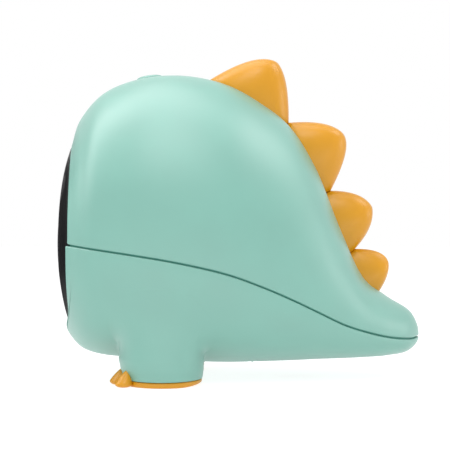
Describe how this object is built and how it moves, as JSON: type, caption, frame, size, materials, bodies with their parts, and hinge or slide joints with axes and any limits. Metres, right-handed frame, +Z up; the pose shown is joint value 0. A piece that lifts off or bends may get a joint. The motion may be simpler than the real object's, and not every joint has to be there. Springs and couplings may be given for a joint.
{
  "type": "bubble machine",
  "caption": "Battery bubble machine shaped like a plump standing dinosaur, with a domed front outlet, dorsal spikes and a top button.",
  "frame": {"origin": "middle of the bounding box on the floor, between the two feet and the tail", "axes": "+Z up, the face looks along -X and the tail points along +X, +Y is the toy's right side"},
  "size_m": [0.1891, 0.1202, 0.1679],
  "materials": {
    "mint_plastic": "satin",
    "orange_plastic": "satin",
    "black_gloss": "gloss",
    "dark_plastic": "satin",
    "grey_plastic": "matte",
    "clear_plastic": "gloss",
    "white_nylon": "satin",
    "board": "satin",
    "steel": "brushed",
    "motor_can": "satin",
    "brass": "satin",
    "cell_can": "satin",
    "wire": "matte"
  },
  "bodies": {
    "casing": {"upper_shell": "mint_plastic", "lower_shell": "mint_plastic", "front_panel": "black_gloss", "outlet_ring": "dark_plastic", "left_eye": "dark_plastic", "right_eye": "dark_plastic", "dorsal_spike_1": "orange_plastic", "dorsal_spike_2": "orange_plastic", "dorsal_spike_3": "orange_plastic", "dorsal_spike_4": "orange_plastic", "left_foot": "orange_plastic", "right_foot": "orange_plastic", "switch_board": "board", "tact_switch": "dark_plastic", "board_screws": "steel", "tail_screw": "steel", "battery_box": "dark_plastic", "battery_box_screws": "steel", "cell_1": "cell_can", "cell_2": "cell_can", "cell_3": "cell_can", "cell_4": "cell_can", "battery_contacts": "steel", "solution_tank": "clear_plastic", "counterweights": "steel", "wheel_bush": "brass", "gear_motor_box": "motor_can", "gear_motor_can": "motor_can", "gear_motor_screws": "steel", "mechanism_plate": "grey_plastic", "plate_screws": "steel", "blower_housing": "grey_plastic", "blower_cover": "grey_plastic", "cover_screws": "steel", "blower_screws": "steel", "fan_motor": "motor_can", "wiring": "wire"},
    "wheel": {"bubble_wheel": "orange_plastic", "wheel_shaft": "steel", "wheel_gear": "white_nylon", "shaft_clip": "steel"},
    "pinion": {"drive_pinion": "white_nylon", "pinion_shaft": "steel"},
    "fan": {"blower_impeller": "grey_plastic", "fan_shaft": "steel"},
    "button": {"power_button": "mint_plastic"},
    "door": {"battery_door": "mint_plastic", "door_screw": "steel"}
  },
  "joints": [
    {"name": "wheel_spin", "type": "hinge", "parent": "casing", "child": "wheel", "pos_m": [-0.07, 0, 0.051], "axis": [1, 0, 0], "continuous": true},
    {"name": "pinion_spin", "type": "hinge", "parent": "casing", "child": "pinion", "pos_m": [-0.055, 0.0156, 0.051], "axis": [1, 0, 0], "continuous": true},
    {"name": "fan_spin", "type": "hinge", "parent": "casing", "child": "fan", "pos_m": [-0.021, 0, 0.089], "axis": [0, 1, 0], "continuous": true},
    {"name": "button_press", "type": "slide", "parent": "casing", "child": "button", "axis": [0.1392, 0, -0.9903], "range_m": [0, 0.0012], "stiffness_N_per_m": 300, "springref_m": -0.001},
    {"name": "battery_door_hinge", "type": "hinge", "parent": "casing", "child": "door", "pos_m": [0.0062, 0, 0.00981], "axis": [0, -1, 0], "range_deg": [0, 100]}
  ],
  "couplings": [
    {"joint": "pinion_spin", "follows": "wheel_spin", "ratio": -2}
  ]
}
